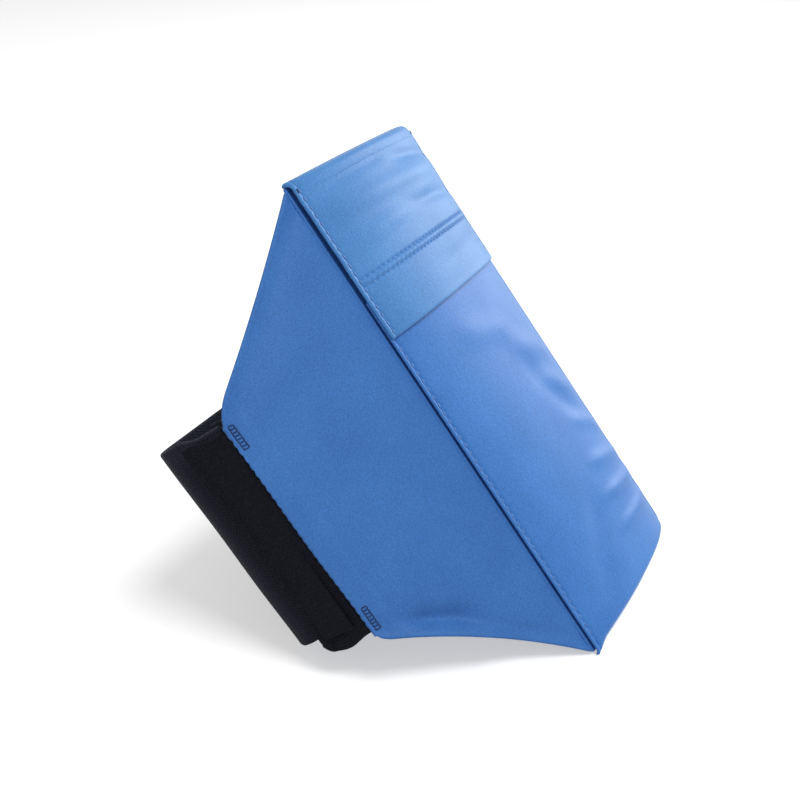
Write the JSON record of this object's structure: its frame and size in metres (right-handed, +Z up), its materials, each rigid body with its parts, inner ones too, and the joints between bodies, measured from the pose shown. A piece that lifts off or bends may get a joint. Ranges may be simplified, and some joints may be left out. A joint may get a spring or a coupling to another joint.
{
  "type": "upper-arm band with pocket",
  "caption": "Stretch-cloth arm band: a phone pocket with an envelope flap, two tapering wings, and a wide elastic strap closed by a hook-and-loop tab.",
  "frame": {"origin": "centre of the footprint of the standing band, on the surface it stands on", "axes": "+X across the pocket, from the closure side to the other side; +Y from the pocket towards the strap; +Z up. The arm passes through along the direction (0, 0.607, 0.794)."},
  "size_m": [0.18, 0.1386, 0.1451],
  "materials": {
    "pocket_cloth": "smooth four-way stretch cloth, slight sheen",
    "flap_cloth": "smooth four-way stretch cloth, slight sheen",
    "wing_cloth": "stretch cloth, matt, finely mottled",
    "thread": "twisted thread, dark blue",
    "pile": "brushed nylon pile, black",
    "elastic": "woven elastic, blue-black",
    "hooks": "moulded nylon hooks, black"
  },
  "bodies": {
    "pocket": {"front_panel": "pocket_cloth", "back_panel": "wing_cloth", "bottom_gusset": "pocket_cloth", "top_fold": "flap_cloth", "mouth_hem": "pocket_cloth", "near_seam_allowance": "wing_cloth", "far_seam_allowance": "wing_cloth", "near_topstitch": "thread", "far_topstitch": "thread", "corner_tacks": "thread"},
    "flap": {"flap_panel": "flap_cloth", "flap_hem": "flap_cloth", "flap_coverstitch": "thread"},
    "near_wing": {"near_wing_panel": "wing_cloth", "near_wing_hem": "wing_cloth", "near_wing_bartacks": "thread"},
    "tab": {"closure_tab": "pile", "hook_patch": "hooks", "tab_end_fold": "pile"},
    "far_wing": {"far_wing_panel": "wing_cloth", "far_wing_hem": "wing_cloth", "far_wing_bartacks": "thread"},
    "strap": {"elastic_strap": "elastic", "loop_patch": "pile", "strap_end_fold": "elastic"}
  },
  "joints": [
    {"name": "flap_lift", "type": "hinge", "parent": "pocket", "child": "flap", "pos_m": [0.0002, 0.03581, 0.14405], "axis": [-1, 0, 0], "range_deg": [0, 15]},
    {"name": "near_wing_fold", "type": "hinge", "parent": "pocket", "child": "near_wing", "pos_m": [-0.0428, -0.00853, 0.07126], "axis": [0, 0.6075, 0.7943], "range_deg": [0, 45]},
    {"name": "tab_peel", "type": "hinge", "parent": "near_wing", "child": "tab", "pos_m": [-0.08876, 0.01771, 0.0512], "axis": [0, 0.6075, 0.7943], "range_deg": [0, 60]},
    {"name": "far_wing_fold", "type": "hinge", "parent": "pocket", "child": "far_wing", "pos_m": [0.0432, -0.00853, 0.07126], "axis": [0, -0.6075, -0.7943], "range_deg": [0, 45]},
    {"name": "strap_swing", "type": "hinge", "parent": "far_wing", "child": "strap", "pos_m": [0.08916, 0.01771, 0.0512], "axis": [0, -0.6075, -0.7943], "range_deg": [0, 60]}
  ]
}
